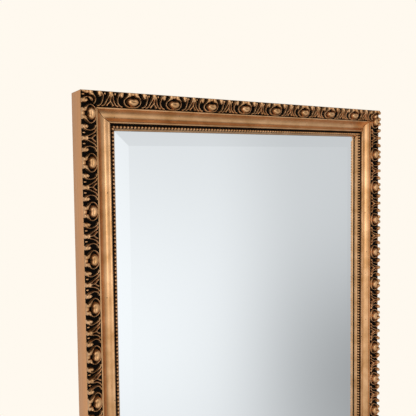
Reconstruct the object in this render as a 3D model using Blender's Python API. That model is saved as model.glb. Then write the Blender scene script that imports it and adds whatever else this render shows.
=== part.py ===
"""Wall mirror: a gilt moulding mitred round a bevelled glass, with a backing board behind it.

The mirror faces -Y and hangs with its back at Y = 0. X runs to the right and Z up.
The origin lies on the back of the top rail, at the middle of its width and of its length.
Each rail is modelled along its own X axis, with its outer edge at Z = 0 and its back at Y = 0,
and is then turned to its side of the frame.
"""

import math

import bmesh
import bpy
from mathutils import Matrix, Vector

# Overall size, over the outer faces of the moulding
WIDTH = 0.5588
HEIGHT = 0.7620
THICKNESS = 0.0360

# Moulding section. Widths run inwards from the outer face, depths back from the front arris.
BAND_WIDTH = 0.0202
BAND_FALL = 0.0024
FILLET_WIDTH = 0.0018
FILLET_RISE = 0.0010
SCOOP_WIDTH = 0.0162
SCOOP_TOP_DEPTH = 0.0034
SCOOP_FLOOR_DEPTH = 0.0089
SCOOP_END_DEPTH = 0.0044
SCOOP_FLOOR_PLACE = 0.50
SCOOP_STEPS_DOWN = 3
SCOOP_STEPS_UP = 3
CREST_WIDTH = 0.0012
CREST_FALL = 0.0014
LEDGE_DEPTH = 0.0100
LEDGE_WIDTH = 0.0062
LIP_WIDTH = 0.0026
SIGHT_DEPTH = 0.0142
LIP_THICKNESS = 0.0015
REBATE_WIDTH = 0.0062

# Mitres: the saw cut left between two rails
MITRE_GAP = 0.0004

# Carved band: hearts in rings, scrolls beside them and a forked stem half way between two hearts.
# Places on the band are measured from the heart's axis and from the outer edge.
HEART_PITCH = 0.0602
RING_CENTRE = 0.0102
RING_HALF_LENGTH = 0.0118
RING_HALF_WIDTH = 0.0081
RING_HEIGHT = 0.0036
RING_TILT = 0.0018
RING_FOOT = 0.0014
HEART_SETBACK = 0.0016
HEART_HALF_LENGTH = 0.0054
HEART_HALF_WIDTH = 0.0038
HEART_HEIGHT = 0.0068
HEART_FOOT = 0.0020
HEART_NOTCH = 0.0020
VALLEY_HEIGHT = 0.0003
OUTLINE_SIDES = 8
STRAND_STEEPNESS = 2.4
STRAND_SINK = 0.0002
CARVING_ROOT = 0.0012

# Distance from a rail's start, its first corner going clockwise, to its first heart
TOP_FIRST_HEART = 0.0064
LEFT_FIRST_HEART = 0.0107
RIGHT_FIRST_HEART = 0.0212
BOTTOM_FIRST_HEART = 0.0243

# Row of beads along the ledge
BEADS_PER_HEART = 12
BEAD_WIDTH = 0.0040
BEAD_BASE = 0.0005
BEAD_RISE = 0.0016
BEAD_SETBACK = 0.0018

# Glass
GLASS_THICKNESS = 0.0050
GLASS_EDGE_THICKNESS = 0.0030
GLASS_BEVEL = 0.0250
GLASS_PLAY = 0.0006

# Backing board
BOARD_THICKNESS = 0.0030
BOARD_PLAY = 0.0010

# Gap between pieces that touch
SEAT = 0.0003

# Places across the section, worked out from the widths
FILLET_START = BAND_WIDTH
SCOOP_START = FILLET_START + FILLET_WIDTH
CREST_START = SCOOP_START + SCOOP_WIDTH
LEDGE_START = CREST_START + CREST_WIDTH
LIP_START = LEDGE_START + LEDGE_WIDTH
SIGHT_EDGE = LIP_START + LIP_WIDTH
REBATE_EDGE = SIGHT_EDGE - REBATE_WIDTH
REBATE_DEPTH = SIGHT_DEPTH + LIP_THICKNESS
MOUNT_FROM_TOP = REBATE_EDGE / 2

# Side of the block that cuts a mitre: it takes in the whole end of a rail
MITRE_BLOCK = 5 * SIGHT_EDGE

GILT = (0.50, 0.27, 0.12, 1.0)
SILVERED = (0.80, 0.82, 0.83, 1.0)
HARDBOARD = (0.23, 0.13, 0.07, 1.0)


def clear_scene():
    for thing in list(bpy.data.objects):
        bpy.data.objects.remove(thing, do_unlink=True)


def new_collection(name):
    collection = bpy.data.collections.new(name)
    bpy.context.scene.collection.children.link(collection)
    return collection


def new_material(name, colour, roughness, metallic):
    material = bpy.data.materials.new(name)
    material.use_nodes = True
    shader = material.node_tree.nodes["Principled BSDF"]
    shader.inputs["Base Color"].default_value = colour
    shader.inputs["Roughness"].default_value = roughness
    shader.inputs["Metallic"].default_value = metallic
    material.diffuse_color = colour
    return material


def new_object(name, mesh, collection, material=None):
    thing = bpy.data.objects.new(name, mesh)
    collection.objects.link(thing)
    if material is not None:
        mesh.materials.append(material)
    return thing


def as_cutter(thing):
    thing.hide_render = True
    thing.display_type = "WIRE"
    return thing


def curve_as_mesh(curve, name):
    """The curve's evaluated surface as a closed mesh, with its caps welded on."""
    carrier = bpy.data.objects.new(name, curve)
    bpy.context.scene.collection.objects.link(carrier)
    bpy.context.view_layer.update()
    evaluated = carrier.evaluated_get(bpy.context.evaluated_depsgraph_get())
    mesh = bpy.data.meshes.new_from_object(evaluated)
    bpy.data.objects.remove(carrier, do_unlink=True)
    bm = bmesh.new()
    bm.from_mesh(mesh)
    bmesh.ops.remove_doubles(bm, verts=bm.verts, dist=0.00001)
    bmesh.ops.recalc_face_normals(bm, faces=bm.faces)
    bm.to_mesh(mesh)
    bm.free()
    mesh.shade_flat()
    return mesh


# Moulding section

def scoop_depth(place):
    """Depth of the hollow at a place from 0 at its outer side to 1 at its crest.

    It falls steeply at first, flattens to its floor, and rises in an S to the crest.
    """
    if place < SCOOP_FLOOR_PLACE:
        left = 1 - place / SCOOP_FLOOR_PLACE
        return SCOOP_FLOOR_DEPTH - (SCOOP_FLOOR_DEPTH - SCOOP_TOP_DEPTH) * left ** 2
    rise = (place - SCOOP_FLOOR_PLACE) / (1 - SCOOP_FLOOR_PLACE)
    return SCOOP_FLOOR_DEPTH - (SCOOP_FLOOR_DEPTH - SCOOP_END_DEPTH) * rise ** 2 * (3 - 2 * rise)


def scoop_places():
    down = [SCOOP_FLOOR_PLACE * step / SCOOP_STEPS_DOWN for step in range(SCOOP_STEPS_DOWN)]
    up = [SCOOP_FLOOR_PLACE + (1 - SCOOP_FLOOR_PLACE) * step / SCOOP_STEPS_UP
          for step in range(SCOOP_STEPS_UP + 1)]
    return down + up


def moulding_section():
    """Corner points of the section as (width in from the outer face, depth back from the front)."""
    fillet_depth = BAND_FALL - FILLET_RISE
    points = [(0, THICKNESS), (0, 0), (FILLET_START, BAND_FALL), (FILLET_START, fillet_depth),
              (SCOOP_START, fillet_depth)]
    points += [(SCOOP_START + SCOOP_WIDTH * place, scoop_depth(place)) for place in scoop_places()]
    points += [(LEDGE_START, SCOOP_END_DEPTH + CREST_FALL), (LEDGE_START, LEDGE_DEPTH),
               (LIP_START, LEDGE_DEPTH), (SIGHT_EDGE, SIGHT_DEPTH), (SIGHT_EDGE, REBATE_DEPTH),
               (REBATE_EDGE, REBATE_DEPTH), (REBATE_EDGE, THICKNESS)]
    return points


def moulding_length(length, collection, material, name):
    """Plain moulding: the section as a flat outline, drawn out along X."""
    curve = bpy.data.curves.new(name, "CURVE")
    curve.dimensions = "2D"
    curve.fill_mode = "BOTH"
    curve.extrude = length / 2
    section = moulding_section()
    spline = curve.splines.new("POLY")
    spline.points.add(len(section) - 1)
    for point, (inwards, depth) in zip(spline.points, section):
        point.co = (depth - THICKNESS, -inwards, 0, 1)
    spline.use_cyclic_u = True
    mesh = curve_as_mesh(curve, name)
    along_x = Matrix(((0, 0, 1, length / 2), (1, 0, 0, 0), (0, 1, 0, 0), (0, 0, 0, 1)))
    mesh.transform(along_x)
    return new_object(name, mesh, collection, material)


# Carved band

def band_matrix():
    """From the band's own frame (along, inwards, up off the ground) to the rail's frame."""
    slope = math.atan2(BAND_FALL, BAND_WIDTH)
    along = Vector((1, 0, 0))
    inwards = Vector((0, math.sin(slope), -math.cos(slope)))
    outwards = Vector((0, -math.cos(slope), -math.sin(slope)))
    turn = Matrix((along, inwards, outwards)).transposed().to_4x4()
    return Matrix.Translation((0, -THICKNESS, 0)) @ turn


def heart_point(turn, half_length, half_width):
    """A point of a heart outline round its middle. A turn of 0 is the notch, at the outer side."""
    along = math.sin(turn)
    across = math.cos(turn)
    reach = 1 / math.hypot(along / half_length, across / half_width)
    if abs(turn) < math.pi / OUTLINE_SIDES:
        reach -= HEART_NOTCH
    return along * reach, -across * reach


def heart_loops():
    """Loops of the ring and heart from the root up.

    Each has its half length, half width, middle, height and how much higher its outer side is.
    """
    root = RING_FOOT * (1 + CARVING_ROOT / RING_HEIGHT)
    heart_centre = RING_CENTRE + HEART_SETBACK
    return [(RING_HALF_LENGTH + root, RING_HALF_WIDTH + root, RING_CENTRE, -CARVING_ROOT, 0),
            (RING_HALF_LENGTH, RING_HALF_WIDTH, RING_CENTRE, RING_HEIGHT, RING_TILT),
            (HEART_HALF_LENGTH + HEART_FOOT, HEART_HALF_WIDTH + HEART_FOOT, heart_centre, VALLEY_HEIGHT, 0),
            (HEART_HALF_LENGTH, HEART_HALF_WIDTH, heart_centre, HEART_HEIGHT, 0)]


def add_heart(bm):
    """Ring with a heart inside it: a drum whose top is drawn up level by level, then shaped."""
    loops = heart_loops()
    drum = bmesh.ops.create_cone(bm, cap_ends=True, segments=OUTLINE_SIDES, radius1=1, radius2=1,
                                 depth=1, matrix=Matrix.Translation((0, 0, 0.5)))
    top = max(drum["verts"][0].link_faces[:] + drum["verts"][-1].link_faces[:],
              key=lambda face: face.calc_center_median().z)
    verts = list(drum["verts"])
    for level in range(len(loops) - 2):
        top = bmesh.ops.extrude_discrete_faces(bm, faces=[top])["faces"][0]
        bmesh.ops.translate(bm, vec=(0, 0, 1), verts=top.verts)
        verts += top.verts
    for vert in verts:
        half_length, half_width, middle, height, tilt = loops[round(vert.co.z)]
        along, inwards = heart_point(math.atan2(vert.co.x, -vert.co.y), half_length, half_width)
        vert.co = (along, middle + inwards, height - tilt * inwards / half_width)


def strand_routes():
    """Ridges of the band as (along, inwards, half width) in shares of the heart pitch.

    The scroll starts in a knob and its tail thins away under the ring. Half way between two
    hearts a knob at the outer edge sends down two long legs, with a short stem between them.
    """
    scroll = [(0.262, 0.060, 0.040), (0.346, 0.145, 0.024), (0.180, 0.322, 0.000)]
    legs = [(0.310, 0.316, 0.016), (0.500, 0.060, 0.042), (0.690, 0.316, 0.016)]
    stem = [(0.500, 0.140, 0.000), (0.500, 0.320, 0.022)]
    mirrored = [(-along, inwards, half) for along, inwards, half in scroll]
    return [scroll, mirrored, legs, stem]


def strands_mesh():
    """Four-sided tubes along the routes, stretched upwards, with their lower half in the ground."""
    curve = bpy.data.curves.new("strands", "CURVE")
    curve.dimensions = "3D"
    curve.bevel_depth = 1.0
    curve.bevel_resolution = 0
    curve.use_fill_caps = True
    for route in strand_routes():
        spline = curve.splines.new("POLY")
        spline.points.add(len(route) - 1)
        for point, (along, inwards, half) in zip(spline.points, route):
            point.co = (along * HEART_PITCH, inwards * HEART_PITCH, 0, 1)
            point.radius = half * HEART_PITCH
    mesh = curve_as_mesh(curve, "strands")
    mesh.transform(Matrix.Translation((0, 0, -STRAND_SINK)) @ Matrix.Diagonal((1, 1, STRAND_STEEPNESS, 1)))
    return mesh


def carving_unit():
    """One repeat of the carving, from a heart to the forked stem after it, on level ground."""
    bm = bmesh.new()
    add_heart(bm)
    strands = strands_mesh()
    bm.from_mesh(strands)
    bpy.data.meshes.remove(strands)
    bmesh.ops.recalc_face_normals(bm, faces=bm.faces)
    mesh = bpy.data.meshes.new("carving_unit")
    bm.to_mesh(mesh)
    bm.free()
    return mesh


def carved_band(length, first_heart, collection, name):
    """The repeats that a rail carries, laid on the sloping ground of its band."""
    unit = carving_unit()
    bm = bmesh.new()
    place = first_heart - HEART_PITCH
    while place < length + HEART_PITCH / 2:
        made_before = len(bm.verts)
        bm.from_mesh(unit)
        bm.verts.ensure_lookup_table()
        bmesh.ops.translate(bm, vec=(place, 0, 0), verts=bm.verts[made_before:])
        place += HEART_PITCH
    bpy.data.meshes.remove(unit)
    bm.transform(band_matrix())
    mesh = bpy.data.meshes.new(name)
    bm.to_mesh(mesh)
    bm.free()
    return as_cutter(new_object(name, mesh, collection))


# Beads

def bead_row(length, first_heart, collection, name):
    """A strip of square cells along the ledge, each poked up to a four-sided bead."""
    pitch = HEART_PITCH / BEADS_PER_HEART
    count = math.ceil(length / pitch)
    count += -count % BEADS_PER_HEART
    bm = bmesh.new()
    bmesh.ops.create_grid(bm, x_segments=count, y_segments=1, size=0.5)
    bmesh.ops.scale(bm, vec=(count * pitch, BEAD_WIDTH, 1), verts=bm.verts)
    rim = [edge for edge in bm.edges if edge.is_boundary]
    cells = bm.faces[:]
    skirt = bmesh.ops.extrude_edge_only(bm, edges=rim)["geom"]
    foot = [item for item in skirt if isinstance(item, bmesh.types.BMVert)]
    bmesh.ops.translate(bm, vec=(0, 0, -BEAD_BASE - CARVING_ROOT), verts=foot)
    bmesh.ops.contextual_create(bm, geom=[edge for edge in bm.edges if edge.is_boundary])
    bmesh.ops.poke(bm, faces=cells, offset=BEAD_RISE)
    group = BEADS_PER_HEART * pitch
    upright = [edge for edge in bm.edges
               if abs(edge.verts[0].co.x - edge.verts[1].co.x) < pitch / 4
               and abs(edge.verts[0].co.y - edge.verts[1].co.y) < pitch / 4]
    joins = [edge for edge in upright
             if abs(math.remainder(edge.verts[0].co.x + count * pitch / 2, group)) > pitch / 4]
    bmesh.ops.dissolve_edges(bm, edges=joins, use_verts=True)
    bmesh.ops.recalc_face_normals(bm, faces=bm.faces)
    inwards = LEDGE_START + BEAD_SETBACK + BEAD_WIDTH / 2
    start = first_heart % pitch - pitch
    out_of_ledge = Matrix(((1, 0, 0, start + count * pitch / 2),
                           (0, 0, -1, LEDGE_DEPTH - THICKNESS - BEAD_BASE),
                           (0, 1, 0, -inwards),
                           (0, 0, 0, 1)))
    bm.transform(out_of_ledge)
    mesh = bpy.data.meshes.new(name)
    bm.to_mesh(mesh)
    bm.free()
    return as_cutter(new_object(name, mesh, collection))


# Mitres

def mitre_cutter(end, lean, collection, name):
    """A block whose face lies on the mitre at one end of a rail. lean is 1 at X = 0, else -1."""
    bpy.ops.mesh.primitive_cube_add(size=MITRE_BLOCK)
    block = bpy.context.object
    block.name = name
    for home in list(block.users_collection):
        home.objects.unlink(block)
    collection.objects.link(block)
    normal = Vector((lean, 0, 1)).normalized()
    block.location = Vector((end, 0, 0)) - normal * (MITRE_BLOCK - MITRE_GAP) / 2
    block.rotation_euler = (0, math.pi / 4, 0)
    return as_cutter(block)


def add_boolean(thing, operand, operation):
    modifier = thing.modifiers.new(operand.name, "BOOLEAN")
    modifier.operation = operation
    modifier.solver = "EXACT"
    modifier.object = operand
    operand.parent = thing


def build_rail(name, length, first_heart, parts, cutters, material):
    rail = moulding_length(length, parts, material, name)
    add_boolean(rail, carved_band(length, first_heart, cutters, name + "_carving"), "UNION")
    add_boolean(rail, bead_row(length, first_heart, cutters, name + "_beads"), "UNION")
    add_boolean(rail, mitre_cutter(0, 1, cutters, name + "_start_mitre"), "DIFFERENCE")
    add_boolean(rail, mitre_cutter(length, -1, cutters, name + "_end_mitre"), "DIFFERENCE")
    return rail


def place_rail(rail, corner_x, corner_z, quarter_turns):
    """Stand the rail's start at a corner of the frame. Each quarter turn goes clockwise."""
    rail.location = (corner_x, 0, corner_z)
    rail.rotation_euler = (0, quarter_turns * math.pi / 2, 0)


def build_frame(parts, cutters):
    gilt = new_material("gilt_moulding", GILT, roughness=0.42, metallic=0.75)
    top = MOUNT_FROM_TOP
    bottom = MOUNT_FROM_TOP - HEIGHT
    side = WIDTH / 2
    rails = [("frame_top", WIDTH, TOP_FIRST_HEART, -side, top),
             ("frame_right", HEIGHT, RIGHT_FIRST_HEART, side, top),
             ("frame_bottom", WIDTH, BOTTOM_FIRST_HEART, side, bottom),
             ("frame_left", HEIGHT, LEFT_FIRST_HEART, -side, bottom)]
    for quarter_turns, (name, length, first_heart, corner_x, corner_z) in enumerate(rails):
        rail = build_rail(name, length, first_heart, parts, cutters, gilt)
        place_rail(rail, corner_x, corner_z, quarter_turns)


# Glass and board, which drop into the rebate from behind

def glass_edge_depth():
    """Front of the glass at its edge: the bevel touches the lip along the sight edge."""
    bevel_slope = (GLASS_THICKNESS - GLASS_EDGE_THICKNESS) / GLASS_BEVEL
    return REBATE_DEPTH + SEAT + bevel_slope * (REBATE_WIDTH - GLASS_PLAY)


def pane(play, front_depth, thickness):
    """A flat pane that fills the rebate less its play, centred in the frame."""
    margin = 2 * (REBATE_EDGE + play)
    bm = bmesh.new()
    bmesh.ops.create_cube(bm, size=1)
    bmesh.ops.scale(bm, vec=(WIDTH - margin, thickness, HEIGHT - margin), verts=bm.verts)
    middle_y = front_depth + thickness / 2 - THICKNESS
    bmesh.ops.translate(bm, vec=(0, middle_y, MOUNT_FROM_TOP - HEIGHT / 2), verts=bm.verts)
    return bm


def finish_pane(bm, name, collection, material):
    mesh = bpy.data.meshes.new(name)
    bm.to_mesh(mesh)
    bm.free()
    return new_object(name, mesh, collection, material)


def build_glass(parts):
    bm = pane(GLASS_PLAY, glass_edge_depth(), GLASS_EDGE_THICKNESS)
    front = min(bm.faces, key=lambda face: face.calc_center_median().y)
    bmesh.ops.inset_region(bm, faces=[front], thickness=GLASS_BEVEL, use_even_offset=True,
                           depth=GLASS_THICKNESS - GLASS_EDGE_THICKNESS)
    silvered = new_material("silvered_glass", SILVERED, roughness=0.02, metallic=1.0)
    finish_pane(bm, "mirror_glass", parts, silvered)


def build_board(parts):
    front_depth = glass_edge_depth() + GLASS_EDGE_THICKNESS + SEAT
    bm = pane(BOARD_PLAY, front_depth, BOARD_THICKNESS)
    hardboard = new_material("hardboard", HARDBOARD, roughness=0.8, metallic=0.0)
    finish_pane(bm, "backing_board", parts, hardboard)


def main():
    clear_scene()
    parts = new_collection("wall_mirror")
    cutters = new_collection("cutters")
    build_frame(parts, cutters)
    build_glass(parts)
    build_board(parts)


main()
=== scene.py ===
"""Looks of the wall mirror: gilt moulding with its pressed ornament and beads, glass and board.

Each rail is made along its own X axis, its outer face at Z = 0, its back at Y = 0 and its front
towards -Y, and is then turned to its side of the frame. All sizes are in metres.
"""

import math

import bmesh
import bpy
from mathutils import Matrix, Vector


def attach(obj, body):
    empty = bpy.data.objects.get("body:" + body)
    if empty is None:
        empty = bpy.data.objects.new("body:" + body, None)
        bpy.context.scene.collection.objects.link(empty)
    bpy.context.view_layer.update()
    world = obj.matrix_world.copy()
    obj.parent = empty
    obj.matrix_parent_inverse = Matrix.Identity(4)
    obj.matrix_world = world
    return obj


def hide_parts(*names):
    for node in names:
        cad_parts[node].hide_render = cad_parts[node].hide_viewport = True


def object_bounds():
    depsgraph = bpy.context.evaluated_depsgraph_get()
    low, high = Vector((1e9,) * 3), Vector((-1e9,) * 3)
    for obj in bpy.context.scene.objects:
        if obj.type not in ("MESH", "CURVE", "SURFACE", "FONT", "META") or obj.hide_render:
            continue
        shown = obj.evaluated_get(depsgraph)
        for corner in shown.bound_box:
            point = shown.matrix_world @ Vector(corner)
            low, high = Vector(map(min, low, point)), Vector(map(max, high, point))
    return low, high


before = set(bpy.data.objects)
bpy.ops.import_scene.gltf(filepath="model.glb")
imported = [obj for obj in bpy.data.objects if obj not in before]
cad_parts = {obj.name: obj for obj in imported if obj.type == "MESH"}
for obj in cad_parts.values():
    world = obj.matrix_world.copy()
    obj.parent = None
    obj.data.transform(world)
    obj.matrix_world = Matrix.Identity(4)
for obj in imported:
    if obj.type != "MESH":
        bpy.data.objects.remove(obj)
cad_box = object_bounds()

MM = 0.001

# ---------------------------------------------------------------- sizes of the moulding
# Widths run inwards from the outer face, depths run back from the front arris.
FRAME_LOW, FRAME_HIGH = (Vector(corner) for corner in cad_box)
WIDTH = FRAME_HIGH.x - FRAME_LOW.x
HEIGHT = FRAME_HIGH.z - FRAME_LOW.z
THICKNESS = 36.0 * MM
BAND_WIDTH = 20.2 * MM
BAND_FALL = 2.4 * MM
FILLET_WIDTH = 1.8 * MM
FILLET_RISE = 1.0 * MM
SCOOP_WIDTH = 16.2 * MM
SCOOP_TOP_DEPTH = 3.4 * MM
SCOOP_FLOOR_DEPTH = 8.9 * MM
SCOOP_END_DEPTH = 4.4 * MM
SCOOP_FLOOR_PLACE = 0.50
SCOOP_STEPS = 24
CREST_WIDTH = 1.2 * MM
# The crest's rounding, as (share of its width, fall)
CREST_ROUND = [(0.35, 0.08 * MM), (0.65, 0.32 * MM), (0.88, 0.80 * MM), (1.0, 1.6 * MM)]
LEDGE_DEPTH = 10.0 * MM
LEDGE_WIDTH = 6.2 * MM
LEDGE_SLANT = 0.1 * MM
LEDGE_RISE = 0.4 * MM
LIP_WIDTH = 2.6 * MM
SIGHT_DEPTH = 14.2 * MM
LIP_THICKNESS = 1.5 * MM
REBATE_WIDTH = 6.2 * MM
MITRE_GAP = 0.4 * MM
# Width of the black strip painted along the open mitre: painted shade for the gap
MITRE_SHADE_BAND = 1.2 * MM
ARRIS_ROUND = 0.35 * MM
WELD = 0.01 * MM
SLACK = 0.1 * MM

FILLET_START = BAND_WIDTH
SCOOP_START = FILLET_START + FILLET_WIDTH
CREST_START = SCOOP_START + SCOOP_WIDTH
LEDGE_START = CREST_START + CREST_WIDTH
LIP_START = LEDGE_START + LEDGE_WIDTH
SIGHT_EDGE = LIP_START + LIP_WIDTH
REBATE_EDGE = SIGHT_EDGE - REBATE_WIDTH
REBATE_DEPTH = SIGHT_DEPTH + LIP_THICKNESS

# Ornament: one repeat runs from heart to heart
HEART_PITCH = 60.2 * MM
MOULD_GRAIN = 0.30 * MM
OUTER_RELIEF = 6.6 * MM
INNER_RELIEF = 3.6 * MM
HEART_RELIEF = 8.3 * MM
KNOB_RELIEF = 6.3 * MM
SADDLE_RELIEF = 3.6 * MM
LEAF_RELIEF = 2.6 * MM
STRAND_BREADTH = 1.22
STRAND_RADIUS = 0.0135 * STRAND_BREADTH * HEART_PITCH
HALF_REPEAT_FACES = 6300
BAND_SHOULDER = 0.25 * MM
BAND_ROOT = 1.2 * MM
BAND_SKIN = 0.12 * MM
REPEAT_WELD = 0.02 * MM
SEAM_SLACK = 0.05 * MM

# Black wash. On the ridges it ends between two shares of their height, and it is rubbed thin
# at the outer edge. On the moulding it fills the ledge and the ground, on the beads their foot.
RIDGE_WASH = (0.07, 0.31)
EDGE_WASH = 0.40
EDGE_RUBBED = (0.2 * MM, 1.4 * MM)
LEDGE_WASH = 1.6 * MM
GROUND_WASH = 0.5 * MM
GROUND_EDGES = (0.3 * MM, 0.2 * MM)
BEAD_WASH = 0.9
BEAD_FOOT = (-1.2 * MM, 0.2 * MM)

# Beads
BEADS_PER_HEART = 12
BEAD_PLACE = 43.7 * MM
BEAD_LONG = 2.15 * MM
BEAD_BROAD = 2.0 * MM
BEAD_HIGH = 3.2 * MM
BEAD_LIFT = 0.2 * MM

# Rails: name, first heart from the rail's start. Each next rail is a quarter turn further round.
RAILS = [("frame_top", 7.3 * MM), ("frame_right", 21.2 * MM),
         ("frame_bottom", 24.3 * MM), ("frame_left", 10.7 * MM)]
# Keeps the patterns of two rails apart
RAIL_OFFSET = 3.0

# Stage: a floor below the mirror and one window, to the left in front of it
FLOOR_RADIUS = 1.3
FLOOR_DROP = 0.75
WINDOW_PLACE = (-0.9, -2.1, 0.2)
WINDOW_TARGET = (0, 0, -0.3)
WINDOW_SIZE = (0.9, 1.3)
WINDOW_POWER = 7

# The room that the gilding and the glass show. Directions point out from the mirror.
ROOM_LEAST = 0.14
EYE_LEVEL = -0.16
EYE_LEVEL_SPREAD = 0.66
EYE_LEVEL_LIGHT = 0.92
FRONT_LEAST = 0.70
FRONT_LOBE = ((-0.30, -0.95, 0.0), 1.6, 0.26)
CURTAIN_TURN = 35.0
CURTAIN_EDGE = (-0.05, 0.16)
CURTAIN_LIGHT = -0.14
# Brighter and darker places, as (direction, sharpness, light)
ROOM_LOBES = [
    ((-0.36, -0.93, 0.02), 9.0, 0.40),
    ((-0.66, -0.75, 0.02), 7.0, 0.26),
    ((0.71, -0.56, -0.42), 40.0, -0.36),
    ((0.42, -0.80, -0.42), 12.0, 0.18),
    ((0.34, -0.93, 0.10), 20.0, -0.08),
]

# The camera, from the photo's perspective: turns in degrees, place from the top left front corner
VIEW_YAW = 32.451
VIEW_PITCH = -2.515
VIEW_ROLL = -0.648
VIEW_PLACE = Vector((-174.5, -560.9, -86.5)) * MM
VIEW_LENS = 40.217
VIEW_SHIFT = -0.0681


# ---------------------------------------------------------------- small tools

def select_only(piece):
    bpy.ops.object.select_all(action="DESELECT")
    piece.select_set(True)
    bpy.context.view_layer.objects.active = piece


def named(name):
    piece = bpy.context.object
    piece.name = name
    piece.data.name = name
    return piece


def apply_place(piece):
    select_only(piece)
    bpy.ops.object.transform_apply(location=True, rotation=True, scale=True)


def join(pieces):
    bpy.ops.object.select_all(action="DESELECT")
    for piece in pieces:
        piece.select_set(True)
    bpy.context.view_layer.objects.active = pieces[0]
    bpy.ops.object.join()
    return pieces[0]


def edit(piece, mode):
    """Into edit mode with nothing selected, in vertex, edge or face mode."""
    select_only(piece)
    bpy.ops.object.mode_set(mode="EDIT")
    bpy.ops.mesh.select_mode(type=mode)
    bpy.ops.mesh.select_all(action="DESELECT")
    return bmesh.from_edit_mesh(piece.data)


def leave_edit():
    bpy.ops.object.mode_set(mode="OBJECT")


def apply_modifier(piece, kind, **settings):
    select_only(piece)
    modifier = piece.modifiers.new(kind.lower(), kind)
    for key, value in settings.items():
        setattr(modifier, key, value)
    bpy.ops.object.modifier_apply(modifier=modifier.name)


def cut_off(piece, point, normal, fill):
    """Cuts the piece at a plane and throws away the side that the normal points to."""
    edit(piece, "FACE")
    bpy.ops.mesh.select_all(action="SELECT")
    bpy.ops.mesh.bisect(plane_co=point, plane_no=normal, use_fill=fill, clear_outer=True)
    leave_edit()


def smoothstep(low, high, value):
    share = min(1.0, max(0.0, (value - low) / (high - low)))
    return share * share * (3 - 2 * share)


# ---------------------------------------------------------------- moulding

def scoop_depth(place):
    """Depth of the hollow, from 0 at its outer side to 1 at its rounded crest."""
    if place < SCOOP_FLOOR_PLACE:
        left = 1 - place / SCOOP_FLOOR_PLACE
        return SCOOP_FLOOR_DEPTH - (SCOOP_FLOOR_DEPTH - SCOOP_TOP_DEPTH) * left ** 2
    rise = (place - SCOOP_FLOOR_PLACE) / (1 - SCOOP_FLOOR_PLACE)
    return SCOOP_FLOOR_DEPTH - (SCOOP_FLOOR_DEPTH - SCOOP_END_DEPTH) * rise ** 3 * (4 - 3 * rise)


def moulding_section():
    """The way across the section from the front arris round to the back, as (inwards, depth)."""
    fillet_depth = BAND_FALL - FILLET_RISE
    places = [step / SCOOP_STEPS for step in range(SCOOP_STEPS + 1)]
    scoop = [(SCOOP_START + SCOOP_WIDTH * place, scoop_depth(place)) for place in places]
    crest = [(CREST_START + CREST_WIDTH * across, SCOOP_END_DEPTH + fall)
             for across, fall in CREST_ROUND]
    return ([(FILLET_START, BAND_FALL), (FILLET_START, fillet_depth), (SCOOP_START, fillet_depth)]
            + scoop + crest
            + [(LEDGE_START + LEDGE_SLANT, LEDGE_DEPTH), (LIP_START, LEDGE_DEPTH - LEDGE_RISE),
               (SIGHT_EDGE, SIGHT_DEPTH), (SIGHT_EDGE, REBATE_DEPTH), (REBATE_EDGE, REBATE_DEPTH),
               (REBATE_EDGE, THICKNESS), (0, THICKNESS)])


def draw_moulding(name, length):
    """The side face is a plane. Its front edge is drawn across the section, step by step."""
    bpy.ops.object.select_all(action="DESELECT")
    bpy.ops.mesh.primitive_plane_add(size=1, location=(length / 2, -THICKNESS / 2, 0))
    rail = named(name)
    rail.scale = (length, THICKNESS, 1)
    apply_place(rail)
    bm = edit(rail, "EDGE")
    for edge in bm.edges:
        edge.select_set(all(vert.co.y < -THICKNESS * 0.99 for vert in edge.verts))
    bmesh.update_edit_mesh(rail.data)
    here = (0.0, 0.0)
    for inwards, depth in moulding_section():
        step = (0, depth - here[1], here[0] - inwards)
        bpy.ops.mesh.extrude_region_move(TRANSFORM_OT_translate={"value": step})
        here = (inwards, depth)
    bpy.ops.mesh.select_all(action="SELECT")
    bpy.ops.mesh.remove_doubles(threshold=WELD)
    bpy.ops.mesh.normals_make_consistent(inside=False)
    leave_edit()
    return rail


def cut_mitres(piece, length, fill=True):
    lean = math.sqrt(0.5)
    shift = MITRE_GAP * lean
    cut_off(piece, (shift, 0, 0), (-lean, 0, -lean), fill)
    cut_off(piece, (length - shift, 0, 0), (lean, 0, -lean), fill)


def darken_open_mitre(rail):
    """The first rail's mitre has opened a little: a black strip along its edge is painted shade for
    the gap.
    """
    lean = math.sqrt(0.5)
    shade_edge = (MITRE_GAP * lean + MITRE_SHADE_BAND, 0, 0)
    edit(rail, "FACE")
    bpy.ops.mesh.select_all(action="SELECT")
    bpy.ops.mesh.bisect(plane_co=shade_edge, plane_no=(-lean, 0, -lean))
    leave_edit()
    wash_and_shade = rail.data.attributes["wash_and_shade"].data
    for vert, value in zip(rail.data.vertices, wash_and_shade):
        # Black at the mitre face, fading across the strip: painted shade in the gap
        if vert.co.x + vert.co.z < MITRE_GAP and FILLET_START < -vert.co.z < LEDGE_START:
            value.value = 1.0


def moulding_wash_and_lip_shade(inwards, depth):
    """How much black the moulding gets: all of the black wash in the sunk places, and painted shade
    on the sight edge under the lip.
    """
    outer, inner = GROUND_EDGES
    # Black on the sight edge below the lip is painted shade: it stands in for the lip's shadow
    under_lip_shade = depth > SIGHT_DEPTH + SLACK
    on_ledge = LEDGE_START < inwards < LIP_START + SLACK and depth > LEDGE_DEPTH - LEDGE_WASH
    on_ground = outer < inwards < FILLET_START + inner and depth > BAND_FALL - GROUND_WASH
    return 1.0 if under_lip_shade or on_ledge or on_ground else 0.0


# ---------------------------------------------------------------- ornament
# Places are shares of the heart pitch: along the rail from the heart's axis, and inwards.

def relief(inwards):
    """Height of the ridges off the ground: tall at the outer edge, low beside the fillet."""
    share = smoothstep(0.05, 0.30, inwards / HEART_PITCH)
    return OUTER_RELIEF + (INNER_RELIEF - OUTER_RELIEF) * share


def keep_on_band(piece):
    """Presses flat what reaches past the outer edge or far into the ground."""
    for vert in piece.data.vertices:
        vert.co.y = max(BAND_SHOULDER, vert.co.y)
        vert.co.z = max(-0.5 * BAND_ROOT, vert.co.z)


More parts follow.
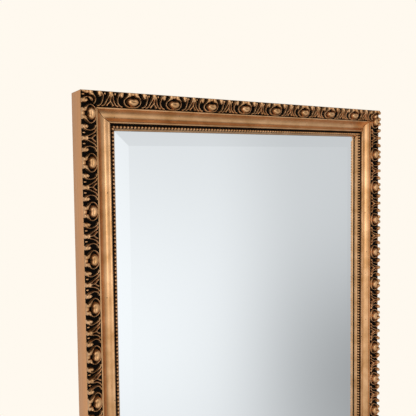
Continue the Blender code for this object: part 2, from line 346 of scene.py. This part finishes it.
def strand(name, route):
    """A steep ridge along a route of (along, inwards, half width), with a narrow rounded crest."""
    bpy.ops.object.select_all(action="DESELECT")
    bpy.ops.curve.primitive_bezier_curve_add(location=(0, 0, 0))
    line = named(name)
    curve = line.data
    curve.bevel_depth = 1.0
    curve.bevel_resolution = 3
    curve.resolution_u = 10
    curve.use_fill_caps = True
    spline = curve.splines[0]
    spline.bezier_points.add(len(route) - 2)
    for point, (along, inwards, half_width) in zip(spline.bezier_points, route):
        point.co = (along * HEART_PITCH, inwards * HEART_PITCH, 0)
        point.radius = STRAND_BREADTH * half_width * HEART_PITCH
        point.handle_left_type = "AUTO"
        point.handle_right_type = "AUTO"
    select_only(line)
    bpy.ops.object.convert(target="MESH")
    ridge = bpy.context.object
    for vert in ridge.data.vertices:
        share = min(1.0, max(0.0, vert.co.z / STRAND_RADIUS))
        vert.co.z = relief(vert.co.y) * share ** 2.4 if share > 0 else vert.co.z
    keep_on_band(ridge)
    return ridge


def lump(name, along, inwards, reach_along, reach_inwards, height):
    """A round lump with a flattened top, its underside sunk only a little."""
    bpy.ops.object.select_all(action="DESELECT")
    place = (along * HEART_PITCH, inwards * HEART_PITCH, 0)
    bpy.ops.mesh.primitive_uv_sphere_add(segments=32, ring_count=16, radius=1, location=place)
    piece = named(name)
    piece.scale = (reach_along * HEART_PITCH, reach_inwards * HEART_PITCH, height)
    apply_place(piece)
    for vert in piece.data.vertices:
        vert.co.z = height * math.tanh(2.2 * vert.co.z / height) / math.tanh(2.2)
    keep_on_band(piece)
    return piece


def heart():
    """A bean-like heart, its notch towards the outer edge, with a gently dented top."""
    reach_inwards = 0.092
    middle = 0.203 * HEART_PITCH
    piece = lump("heart", 0, 0.198, 0.128, reach_inwards, HEART_RELIEF)
    for vert in piece.data.vertices:
        share = (vert.co.y - middle) / (reach_inwards * HEART_PITCH)
        off_axis = vert.co.x / HEART_PITCH
        notch = math.exp(-(off_axis / 0.042) ** 2) * smoothstep(0.2, -1.0, share)
        vert.co.y += 0.028 * HEART_PITCH * notch
        vert.co.x *= 1 - 0.20 * smoothstep(0.0, 1.0, share)
        if vert.co.z > 0.3 * HEART_RELIEF:
            dent = math.exp(-(off_axis / 0.05) ** 2 - ((share + 0.30) / 0.22) ** 2)
            vert.co.z *= 1 - 0.14 * dent - 0.06 * notch
    return piece


def half_repeat_shapes():
    """What lies between a heart's axis and half way to the next heart, and a bit over."""
    shapes = [heart()]
    for side in (-1, 1):
        shapes.append(strand("ring_side", [
            (side * 0.100, 0.070, 0.024), (side * 0.150, 0.112, 0.0150),
            (side * 0.184, 0.165, 0.0125), (side * 0.186, 0.220, 0.0125),
            (side * 0.160, 0.262, 0.0135), (side * 0.120, 0.293, 0.0150),
            (side * 0.060, 0.308, 0.0140), (0, 0.312, 0.0140)]))
        shapes.append(lump("edge_lump", side * 0.076, 0.026, 0.046, 0.078, KNOB_RELIEF))
    shapes.append(lump("edge_saddle", 0, 0.030, 0.060, 0.042, SADDLE_RELIEF))
    shapes.append(lump("scroll_knob", 0.262, 0.040, 0.047, 0.076, KNOB_RELIEF))
    shapes.append(strand("scroll_bud", [
        (0.266, 0.080, 0.034), (0.262, 0.108, 0.020), (0.248, 0.126, 0.010)]))
    shapes.append(strand("scroll", [
        (0.292, 0.030, 0.018), (0.318, 0.062, 0.016), (0.334, 0.115, 0.0140),
        (0.337, 0.172, 0.0128), (0.326, 0.228, 0.0128), (0.300, 0.272, 0.0140),
        (0.262, 0.298, 0.0165), (0.226, 0.309, 0.0175)]))
    shapes.append(lump("stem_knob", 0.500, 0.026, 0.046, 0.084, KNOB_RELIEF))
    shapes.append(strand("stem", [
        (0.500, 0.085, 0.030), (0.500, 0.125, 0.016), (0.500, 0.170, 0.0135),
        (0.500, 0.212, 0.017)]))
    for side in (-1, 1):
        shapes.append(strand("leg", [
            (0.5 + side * 0.030, 0.060, 0.018), (0.5 + side * 0.048, 0.115, 0.0145),
            (0.5 + side * 0.070, 0.175, 0.0130), (0.5 + side * 0.095, 0.232, 0.0130),
            (0.5 + side * 0.132, 0.284, 0.0145), (0.5 + side * 0.180, 0.308, 0.0165)]))
        shapes.append(strand("fork", [
            (0.5, 0.206, 0.0150), (0.5 + side * 0.030, 0.240, 0.0150),
            (0.5 + side * 0.058, 0.276, 0.0175), (0.5 + side * 0.072, 0.300, 0.0185)]))
    shapes.append(lump("leaf", 0.388, 0.052, 0.018, 0.030, LEAF_RELIEF))
    return shapes


def band_slab():
    """The ground that the ornament stands on, with room below it to sit in the moulding."""
    bpy.ops.object.select_all(action="DESELECT")
    bpy.ops.mesh.primitive_cube_add(size=1)
    slab = named("ground")
    width = BAND_WIDTH - BAND_SHOULDER
    slab.scale = (0.9 * HEART_PITCH, width, BAND_ROOT + BAND_SKIN)
    slab.location = (0.25 * HEART_PITCH, BAND_SHOULDER + width / 2, (BAND_SKIN - BAND_ROOT) / 2)
    apply_place(slab)
    return slab


def press_repeat():
    """One repeat of the ornament: the shapes fused to one skin, halved, thinned and mirrored."""
    repeat = join([band_slab()] + half_repeat_shapes())
    repeat.name = "ornament_repeat"
    apply_modifier(repeat, "REMESH", mode="VOXEL", voxel_size=MOULD_GRAIN)
    apply_modifier(repeat, "SMOOTH", factor=0.5, iterations=2)
    cut_off(repeat, (0, BAND_WIDTH, 0), (0, 1, 0), True)
    cut_off(repeat, (0, 0, 0), (-1, 0, 0), False)
    cut_off(repeat, (HEART_PITCH / 2, 0, 0), (1, 0, 0), False)
    faces = sum(len(face.vertices) - 2 for face in repeat.data.polygons)
    apply_modifier(repeat, "DECIMATE", ratio=HALF_REPEAT_FACES / faces)
    for vert in repeat.data.vertices:
        for plane in (0, HEART_PITCH / 2):
            if abs(vert.co.x - plane) < SEAM_SLACK:
                vert.co.x = plane
    apply_modifier(repeat, "MIRROR", use_axis=(True, False, False), merge_threshold=REPEAT_WELD)
    select_only(repeat)
    bpy.ops.object.shade_smooth()
    return repeat


def band_matrix():
    """From the band's own frame (along, inwards, off the ground) to the rail's frame."""
    slope = math.atan2(BAND_FALL, BAND_WIDTH)
    along = Vector((1, 0, 0))
    inwards = Vector((0, math.sin(slope), -math.cos(slope)))
    outwards = Vector((0, -math.cos(slope), -math.sin(slope)))
    turn = Matrix((along, inwards, outwards)).transposed().to_4x4()
    return Matrix.Translation((0, -THICKNESS, 0)) @ turn


def copy_of(piece, name):
    copied = piece.copy()
    copied.data = piece.data.copy()
    copied.name = name
    bpy.context.scene.collection.objects.link(copied)
    return copied


def ornament_wash(inwards, height):
    """Black lies in the gaps and part of the way up the ridges; the outer edge is rubbed."""
    crest = relief(inwards)
    low, high = RIDGE_WASH
    left = 1 - smoothstep(low * crest, high * crest, height)
    return left * (EDGE_WASH + (1 - EDGE_WASH) * smoothstep(*EDGE_RUBBED, inwards))


def lay_ornament(repeat, name, length, first_heart):
    band = copy_of(repeat, name)
    write_value(band, "wash_and_shade", [ornament_wash(vert.co.y, vert.co.z) for vert in band.data.vertices])
    count = math.ceil((length - first_heart) / HEART_PITCH) + 2
    apply_modifier(band, "ARRAY", count=count, use_relative_offset=False, use_constant_offset=True,
                   constant_offset_displace=(HEART_PITCH, 0, 0), use_merge_vertices=True,
                   merge_threshold=REPEAT_WELD)
    start = Matrix.Translation((first_heart - HEART_PITCH, 0, 0))
    band.data.transform(band_matrix() @ start)
    cut_mitres(band, length)
    return band


# ---------------------------------------------------------------- beads

def turn_bead():
    bpy.ops.object.select_all(action="DESELECT")
    bpy.ops.mesh.primitive_uv_sphere_add(segments=10, ring_count=7, radius=1)
    bead = named("bead")
    bead.rotation_euler = (math.pi / 2, 0, 0)
    bead.scale = (BEAD_LONG, BEAD_BROAD, BEAD_HIGH)
    apply_place(bead)
    select_only(bead)
    bpy.ops.object.shade_smooth()
    return bead


def lay_beads(bead, name, length, first_heart):
    row = copy_of(bead, name)
    pitch = HEART_PITCH / BEADS_PER_HEART
    write_value(row, "wash_and_shade", [BEAD_WASH * smoothstep(*BEAD_FOOT, vert.co.y)
                              for vert in row.data.vertices])
    apply_modifier(row, "ARRAY", count=math.ceil(length / pitch) + 1, use_relative_offset=False,
                   use_constant_offset=True, constant_offset_displace=(pitch, 0, 0))
    start = first_heart % pitch - pitch / 2
    level = LEDGE_DEPTH - THICKNESS - BEAD_LIFT
    row.data.transform(Matrix.Translation((start, level, -BEAD_PLACE)))
    cut_mitres(row, length)
    return row


# ---------------------------------------------------------------- rails

def write_value(piece, name, values):
    mesh = piece.data
    if name in mesh.attributes:
        mesh.attributes.remove(mesh.attributes[name])
    mesh.attributes.new(name, "FLOAT", "POINT").data.foreach_set("value", list(values))


def write_rail_place(piece, number):
    """Keeps where each point lies on its rail, so that brush marks run along the wood."""
    flat = []
    for vert in piece.data.vertices:
        flat += (vert.co.x + RAIL_OFFSET * number, vert.co.y, vert.co.z)
    places = piece.data.attributes.new("rail_place", "FLOAT_VECTOR", "POINT")
    places.data.foreach_set("vector", flat)


def paint_moulding(rail, gilt, bronze, wood):
    """Bronze on the outer face, bare wood in the rebate and behind, gilt on the rest."""
    for finish in (gilt, bronze, wood):
        rail.data.materials.append(finish)
    for face in rail.data.polygons:
        inwards = -face.center.z
        depth = face.center.y + THICKNESS
        if inwards < 2 * WELD:
            face.material_index = 1
        elif depth > REBATE_DEPTH - SLACK:
            face.material_index = 2


def make_rail(number, name, first_heart, repeat, bead, finishes):
    length = (WIDTH, HEIGHT)[number % 2]
    rail = draw_moulding(name + "_moulding", length)
    cut_mitres(rail, length)
    apply_modifier(rail, "BEVEL", width=ARRIS_ROUND, segments=2, limit_method="ANGLE",
                   angle_limit=math.radians(28))
    paint_moulding(rail, *finishes)
    select_only(rail)
    bpy.ops.object.shade_smooth_by_angle(angle=math.radians(30))
    write_value(rail, "wash_and_shade", [moulding_wash_and_lip_shade(-vert.co.z, vert.co.y + THICKNESS)
                               for vert in rail.data.vertices])
    if number == 0:
        darken_open_mitre(rail)
    band = lay_ornament(repeat, name + "_ornament", length, first_heart)
    row = lay_beads(bead, name + "_beads", length, first_heart)
    for part in (band, row):
        part.data.materials.clear()
        part.data.materials.append(finishes[0])
    rail = join([rail, band, row])
    rail.name = name + "_gilded"
    write_rail_place(rail, number)
    side = (FRAME_LOW.x, FRAME_HIGH.x, FRAME_HIGH.x, FRAME_LOW.x)[number]
    level = (FRAME_HIGH.z, FRAME_HIGH.z, FRAME_LOW.z, FRAME_LOW.z)[number]
    turn = Matrix.Rotation(number * math.pi / 2, 4, "Y")
    rail.data.transform(Matrix.Translation((side, 0, level)) @ turn)
    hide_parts(name)
    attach(rail, "root")


# ---------------------------------------------------------------- materials

def linear(hex_colour):
    """An sRGB hex colour as the linear values that a shader takes."""
    channels = [int(hex_colour[place:place + 2], 16) / 255 for place in (1, 3, 5)]
    curve = [((value + 0.055) / 1.055) ** 2.4 if value > 0.04045 else value / 12.92
             for value in channels]
    return (*curve, 1.0)


def add_node(tree, kind, settings=None, **sockets):
    """Adds a node. A socket is given a value, or another node's output to link to."""
    node = tree.nodes.new("ShaderNode" + kind)
    for key, value in (settings or {}).items():
        setattr(node, key, value)
    for key, value in sockets.items():
        key = int(key[1:]) if key[0] == "_" and key[1:].isdigit() else key.replace("_", " ")
        if isinstance(value, bpy.types.NodeSocket):
            tree.links.new(value, node.inputs[key])
        else:
            node.inputs[key].default_value = value
    return node


def new_finish(name):
    finish = bpy.data.materials.new(name)
    finish.use_nodes = True
    tree = finish.node_tree
    return finish, tree, tree.nodes["Principled BSDF"]


def gilt_gesso():
    """Bronze-powder gilding over pressed gesso, with a black wash wiped off the high places.

    The eye sees satin gold with fine brush lines along the rail, darker clouds where old varnish
    lies thick, small pits, and near-black ground between the ridges.
    """
    finish, tree, shader = new_finish("bronze_gilding_on_gesso")
    place = add_node(tree, "Attribute", {"attribute_name": "rail_place"}).outputs["Vector"]
    # Besides the black wash, this attribute carries painted shade along the open mitre and on the
    # sight edge under the lip
    wash_and_shade = add_node(tree, "Attribute", {"attribute_name": "wash_and_shade"}).outputs["Fac"]
    # Brush lines 90 mm long and 1.6 mm apart, clouds of 22 mm, grit of 1.6 mm (real grit is finer)
    brush = (1 / (90 * MM), 1 / (1.6 * MM), 1 / (1.6 * MM))
    along = add_node(tree, "Mapping", Vector=place, Scale=brush).outputs["Vector"]
    streaks = add_node(tree, "TexNoise", Vector=along, Scale=1.0, Detail=3.0).outputs["Fac"]
    clouds = add_node(tree, "TexNoise", Vector=place, Scale=1 / (22 * MM), Detail=4.0).outputs["Fac"]
    grit = add_node(tree, "TexNoise", Vector=place, Scale=1 / (1.6 * MM), Detail=2.0).outputs["Fac"]

    gold = add_node(tree, "ValToRGB", Fac=clouds)
    gold.color_ramp.elements[0].position = 0.30
    gold.color_ramp.elements[0].color = linear("#C8935E")
    gold.color_ramp.elements[1].position = 0.70
    gold.color_ramp.elements[1].color = linear("#EEBA88")
    streaked = add_node(tree, "MixRGB", {"blend_type": "MULTIPLY"}, Fac=0.22,
                        Color1=gold.outputs["Color"], Color2=streaks).outputs["Color"]

    edge_noise = add_node(tree, "Math", {"operation": "MULTIPLY_ADD"},
                          _0=grit, _1=0.45, _2=-0.225).outputs[0]
    ragged = add_node(tree, "Math", {"operation": "ADD"}, _0=wash_and_shade, _1=edge_noise).outputs[0]
    black = add_node(tree, "MapRange", {"interpolation_type": "SMOOTHSTEP"}, Value=ragged,
                     From_Min=0.30, From_Max=0.62).outputs["Result"]
    # Pits 1 mm wide and about 11 mm apart
    pits = add_node(tree, "TexVoronoi", Vector=place, Scale=1 / (11 * MM)).outputs["Distance"]
    pit = add_node(tree, "MapRange", Value=pits, From_Min=0.05, From_Max=0.09,
                   To_Min=0.75, To_Max=0.0).outputs["Result"]
    covered = add_node(tree, "Math", {"operation": "MAXIMUM"}, _0=black, _1=pit).outputs[0]
    colour = add_node(tree, "MixRGB", Fac=covered, Color1=streaked,
                      Color2=linear("#0A0603")).outputs["Color"]
    metal = add_node(tree, "MapRange", Value=covered, To_Min=0.92, To_Max=0.0).outputs["Result"]
    sheen = add_node(tree, "MapRange", Value=streaks, To_Min=0.26, To_Max=0.42).outputs["Result"]
    rough = add_node(tree, "Math", {"operation": "MULTIPLY_ADD"},
                     _0=covered, _1=0.4, _2=sheen).outputs[0]
    gloss = add_node(tree, "MapRange", Value=covered, To_Min=0.5, To_Max=0.06).outputs["Result"]
    surface = add_node(tree, "Math", {"operation": "MULTIPLY_ADD"},
                       _0=pit, _1=-1.2, _2=grit).outputs[0]
    bump = add_node(tree, "Bump", Strength=0.25, Distance=0.3 * MM,
                    Height=surface).outputs["Normal"]
    tree.links.new(colour, shader.inputs["Base Color"])
    tree.links.new(metal, shader.inputs["Metallic"])
    tree.links.new(rough, shader.inputs["Roughness"])
    tree.links.new(gloss, shader.inputs["Specular IOR Level"])
    tree.links.new(bump, shader.inputs["Normal"])
    return finish


def bronze_side():
    """Matt bronze paint brushed on bare wood: the grain still shows as fine lengthwise lines."""
    finish, tree, shader = new_finish("bronze_paint_on_wood")
    place = add_node(tree, "Attribute", {"attribute_name": "rail_place"}).outputs["Vector"]
    # Wood grain 110 mm long and 1.1 mm apart under clouds of 35 mm
    lines = (1 / (110 * MM), 1 / (1.1 * MM), 1 / (1.1 * MM))
    along = add_node(tree, "Mapping", Vector=place, Scale=lines).outputs["Vector"]
    grain = add_node(tree, "TexNoise", Vector=along, Scale=1.0, Detail=5.0).outputs["Fac"]
    clouds = add_node(tree, "TexNoise", Vector=place, Scale=1 / (35 * MM), Detail=3.0).outputs["Fac"]
    paint = add_node(tree, "ValToRGB", Fac=grain)
    paint.color_ramp.elements[0].position = 0.30
    paint.color_ramp.elements[0].color = linear("#DC985E")
    paint.color_ramp.elements[1].position = 0.65
    paint.color_ramp.elements[1].color = linear("#F0B076")
    colour = add_node(tree, "MixRGB", {"blend_type": "MULTIPLY"}, Fac=0.12,
                      Color1=paint.outputs["Color"], Color2=clouds).outputs["Color"]
    bump = add_node(tree, "Bump", Strength=0.2, Distance=0.2 * MM, Height=grain).outputs["Normal"]
    tree.links.new(colour, shader.inputs["Base Color"])
    tree.links.new(bump, shader.inputs["Normal"])
    shader.inputs["Metallic"].default_value = 0.35
    shader.inputs["Roughness"].default_value = 0.55
    return finish


def bare_wood():
    """Planed softwood left bare: pale brown, with darker growth lines along the rail."""
    finish, tree, shader = new_finish("bare_planed_softwood")
    place = add_node(tree, "Attribute", {"attribute_name": "rail_place"}).outputs["Vector"]
    # Growth lines 160 mm long and 3.5 mm apart
    growth = (1 / (160 * MM), 1 / (3.5 * MM), 1 / (3.5 * MM))
    along = add_node(tree, "Mapping", Vector=place, Scale=growth).outputs["Vector"]
    rings = add_node(tree, "TexNoise", Vector=along, Scale=1.0, Detail=4.0).outputs["Fac"]
    wood = add_node(tree, "ValToRGB", Fac=rings)
    wood.color_ramp.elements[0].position = 0.35
    wood.color_ramp.elements[0].color = linear("#8F6C48")
    wood.color_ramp.elements[1].position = 0.60
    wood.color_ramp.elements[1].color = linear("#C7A67C")
    bump = add_node(tree, "Bump", Strength=0.2, Distance=0.3 * MM, Height=rings).outputs["Normal"]
    tree.links.new(wood.outputs["Color"], shader.inputs["Base Color"])
    tree.links.new(bump, shader.inputs["Normal"])
    shader.inputs["Roughness"].default_value = 0.7
    return finish


def silvered_glass():
    """Float glass silvered behind: a clean, slightly cool reflection with a polished bevel."""
    finish, _, shader = new_finish("silvered_float_glass")
    shader.inputs["Base Color"].default_value = linear("#F2F4F5")
    shader.inputs["Metallic"].default_value = 1.0
    shader.inputs["Roughness"].default_value = 0.02
    return finish


def hardboard():
    """Oil-tempered hardboard: plain brown, with short pressed fibres."""
    finish, tree, shader = new_finish("tempered_hardboard")
    place = add_node(tree, "TexCoord").outputs["Object"]
    # Fibres of 2 mm
    fibre = add_node(tree, "TexNoise", Vector=place, Scale=1 / (2 * MM), Detail=6.0).outputs["Fac"]
    board = add_node(tree, "ValToRGB", Fac=fibre)
    board.color_ramp.elements[0].position = 0.30
    board.color_ramp.elements[0].color = linear("#5E432C")
    board.color_ramp.elements[1].position = 0.70
    board.color_ramp.elements[1].color = linear("#8A6846")
    bump = add_node(tree, "Bump", Strength=0.15, Distance=0.2 * MM, Height=fibre).outputs["Normal"]
    tree.links.new(board.outputs["Color"], shader.inputs["Base Color"])
    tree.links.new(bump, shader.inputs["Normal"])
    shader.inputs["Roughness"].default_value = 0.75
    return finish


def repaint(node, finish):
    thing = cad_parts[node]
    thing.data.materials.clear()
    thing.data.materials.append(finish)


# ---------------------------------------------------------------- stage, light and camera

def lay_floor():
    """A plain pale floor well below the mirror. Its slight glow keeps it pale in the dim room."""
    bpy.ops.object.select_all(action="DESELECT")
    bpy.ops.mesh.primitive_circle_add(vertices=96, radius=FLOOR_RADIUS, fill_type="NGON",
                                      location=(0, 0, FRAME_LOW.z - FLOOR_DROP))
    floor = named("floor")
    finish, _, shader = new_finish("pale_floor")
    shader.inputs["Base Color"].default_value = linear("#F2ECE2")
    shader.inputs["Roughness"].default_value = 0.8
    shader.inputs["Emission Color"].default_value = linear("#F2ECE2")
    shader.inputs["Emission Strength"].default_value = 0.45
    floor.data.materials.append(finish)
    floor.visible_glossy = False


def lobe(tree, direction, towards, sharpness, light):
    """Light that is strongest in one direction and falls off smoothly around it."""
    facing = add_node(tree, "VectorMath", {"operation": "DOT_PRODUCT"}, _0=direction,
                      _1=Vector(towards).normalized()).outputs["Value"]
    power = add_node(tree, "Math", {"operation": "MULTIPLY_ADD"},
                     _0=facing, _1=sharpness, _2=-sharpness).outputs[0]
    fall = add_node(tree, "Math", {"operation": "EXPONENT"}, _0=power).outputs[0]
    return add_node(tree, "Math", {"operation": "MULTIPLY"}, _0=fall, _1=light).outputs[0]


def eye_level_light(tree, direction):
    """Walls and windows round the mirror: bright at eye height, dim towards ceiling and floor."""
    height = add_node(tree, "SeparateXYZ", Vector=direction).outputs["Z"]
    off = add_node(tree, "Math", {"operation": "SUBTRACT"}, _0=height, _1=EYE_LEVEL).outputs[0]
    share = add_node(tree, "Math", {"operation": "DIVIDE"},
                     _0=off, _1=EYE_LEVEL_SPREAD).outputs[0]
    fourth = add_node(tree, "Math", {"operation": "POWER"}, _0=share, _1=4.0).outputs[0]
    minus = add_node(tree, "Math", {"operation": "MULTIPLY"}, _0=fourth, _1=-1.0).outputs[0]
    fall = add_node(tree, "Math", {"operation": "EXPONENT"}, _0=minus).outputs[0]
    return add_node(tree, "Math", {"operation": "MULTIPLY"},
                    _0=fall, _1=EYE_LEVEL_LIGHT).outputs[0]


def curtain(tree, direction):
    """A darker stretch of wall to the right of an upright edge, which shows in the glass."""
    turn = math.radians(CURTAIN_TURN)
    past = add_node(tree, "VectorMath", {"operation": "DOT_PRODUCT"}, _0=direction,
                    _1=(math.cos(turn), math.sin(turn), 0)).outputs["Value"]
    low, high = CURTAIN_EDGE
    return add_node(tree, "MapRange", {"interpolation_type": "SMOOTHSTEP"}, Value=past,
                    From_Min=low, From_Max=high, To_Min=0.0,
                    To_Max=CURTAIN_LIGHT).outputs["Result"]


def room_light():
    """Cream backdrop for the eye; for the gilding and the glass, a pale room with a window."""
    world = bpy.data.worlds.new("studio")
    bpy.context.scene.world = world
    world.use_nodes = True
    tree = world.node_tree
    backdrop = tree.nodes["Background"]
    backdrop.inputs["Color"].default_value = linear("#FFF9EF")
    direction = add_node(tree, "TexCoord").outputs["Generated"]
    total = eye_level_light(tree, direction)
    front = lobe(tree, direction, *FRONT_LOBE)
    front = add_node(tree, "Math", _0=front, _1=FRONT_LEAST).outputs[0]
    total = add_node(tree, "Math", {"operation": "MULTIPLY"}, _0=total, _1=front).outputs[0]
    for towards, sharpness, light in ROOM_LOBES:
        place = lobe(tree, direction, towards, sharpness, light)
        total = add_node(tree, "Math", _0=total, _1=place).outputs[0]
    total = add_node(tree, "Math", _0=total, _1=curtain(tree, direction)).outputs[0]
    total = add_node(tree, "Math", _0=total, _1=ROOM_LEAST).outputs[0]
    room = add_node(tree, "Background", Color=linear("#F3F6F8"), Strength=total)
    seen = add_node(tree, "LightPath").outputs["Is Camera Ray"]
    mixed = add_node(tree, "MixShader", _0=seen, _1=room.outputs[0], _2=backdrop.outputs[0])
    tree.links.new(mixed.outputs[0], tree.nodes["World Output"].inputs["Surface"])


def soft_light(name, place, target, size, power):
    lamp = bpy.data.lights.new(name, "AREA")
    lamp.shape = "RECTANGLE"
    lamp.size, lamp.size_y = size
    lamp.energy = power
    lamp.color = (1.0, 0.98, 0.95)
    holder = bpy.data.objects.new(name, lamp)
    bpy.context.scene.collection.objects.link(holder)
    holder.location = place
    aim = Vector(target) - Vector(place)
    holder.rotation_euler = aim.to_track_quat("-Z", "Y").to_euler()


def set_camera():
    yaw, pitch, roll = (math.radians(turn) for turn in (VIEW_YAW, VIEW_PITCH, VIEW_ROLL))
    ahead = Vector((math.sin(yaw) * math.cos(pitch), math.cos(yaw) * math.cos(pitch),
                    math.sin(pitch)))
    level = Vector((math.cos(yaw), -math.sin(yaw), 0))
    upright = level.cross(ahead)
    right = level * math.cos(roll) + upright * math.sin(roll)
    up = upright * math.cos(roll) - level * math.sin(roll)
    turn = Matrix((right, up, -ahead)).transposed().to_4x4()
    corner = Vector((FRAME_LOW.x, -THICKNESS, FRAME_HIGH.z))
    lens = bpy.data.cameras.new("camera")
    camera = bpy.data.objects.new("camera", lens)
    bpy.context.scene.collection.objects.link(camera)
    camera.matrix_world = Matrix.Translation(corner + VIEW_PLACE) @ turn
    lens.lens = VIEW_LENS
    lens.shift_y = VIEW_SHIFT
    lens.clip_start = 0.01
    bpy.context.scene.camera = camera


def main():
    bpy.context.scene.view_settings.view_transform = "Standard"
    set_camera()
    finishes = (gilt_gesso(), bronze_side(), bare_wood())
    repeat = press_repeat()
    bead = turn_bead()
    for number, (name, first_heart) in enumerate(RAILS):
        make_rail(number, name, first_heart, repeat, bead, finishes)
    for pattern in (repeat, bead):
        bpy.data.objects.remove(pattern, do_unlink=True)
    repaint("mirror_glass", silvered_glass())
    repaint("backing_board", hardboard())
    lay_floor()
    room_light()
    soft_light("window", WINDOW_PLACE, WINDOW_TARGET, WINDOW_SIZE, WINDOW_POWER)


main()
